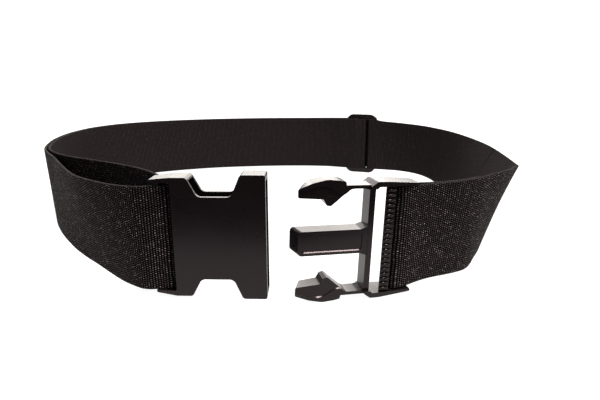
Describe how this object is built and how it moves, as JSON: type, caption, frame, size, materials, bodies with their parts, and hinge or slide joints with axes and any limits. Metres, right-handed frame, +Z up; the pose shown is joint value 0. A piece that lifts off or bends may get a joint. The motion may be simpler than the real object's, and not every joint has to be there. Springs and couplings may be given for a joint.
{
  "type": "web belt",
  "caption": "Wide black webbing belt with an open side-release buckle and a sliding adjuster, standing in a loop on the edge of its strap.",
  "frame": {"origin": "middle of the loop's footprint, on the floor that the belt stands on", "axes": "+Z up along the width of the webbing, +X from the female buckle half to the male half, +Y from the buckle to the back of the loop"},
  "size_m": [0.339, 0.306, 0.06],
  "materials": {
    "webbing": "coarse woven, faint sheen",
    "female_plastic": "satin moulded",
    "male_plastic": "satin moulded",
    "slider_plastic": "satin moulded"
  },
  "bodies": {
    "root": {"webbing": "webbing", "female_buckle": "female_plastic", "male_buckle": "male_plastic", "tri_glide": "slider_plastic"}
  },
  "joints": []
}
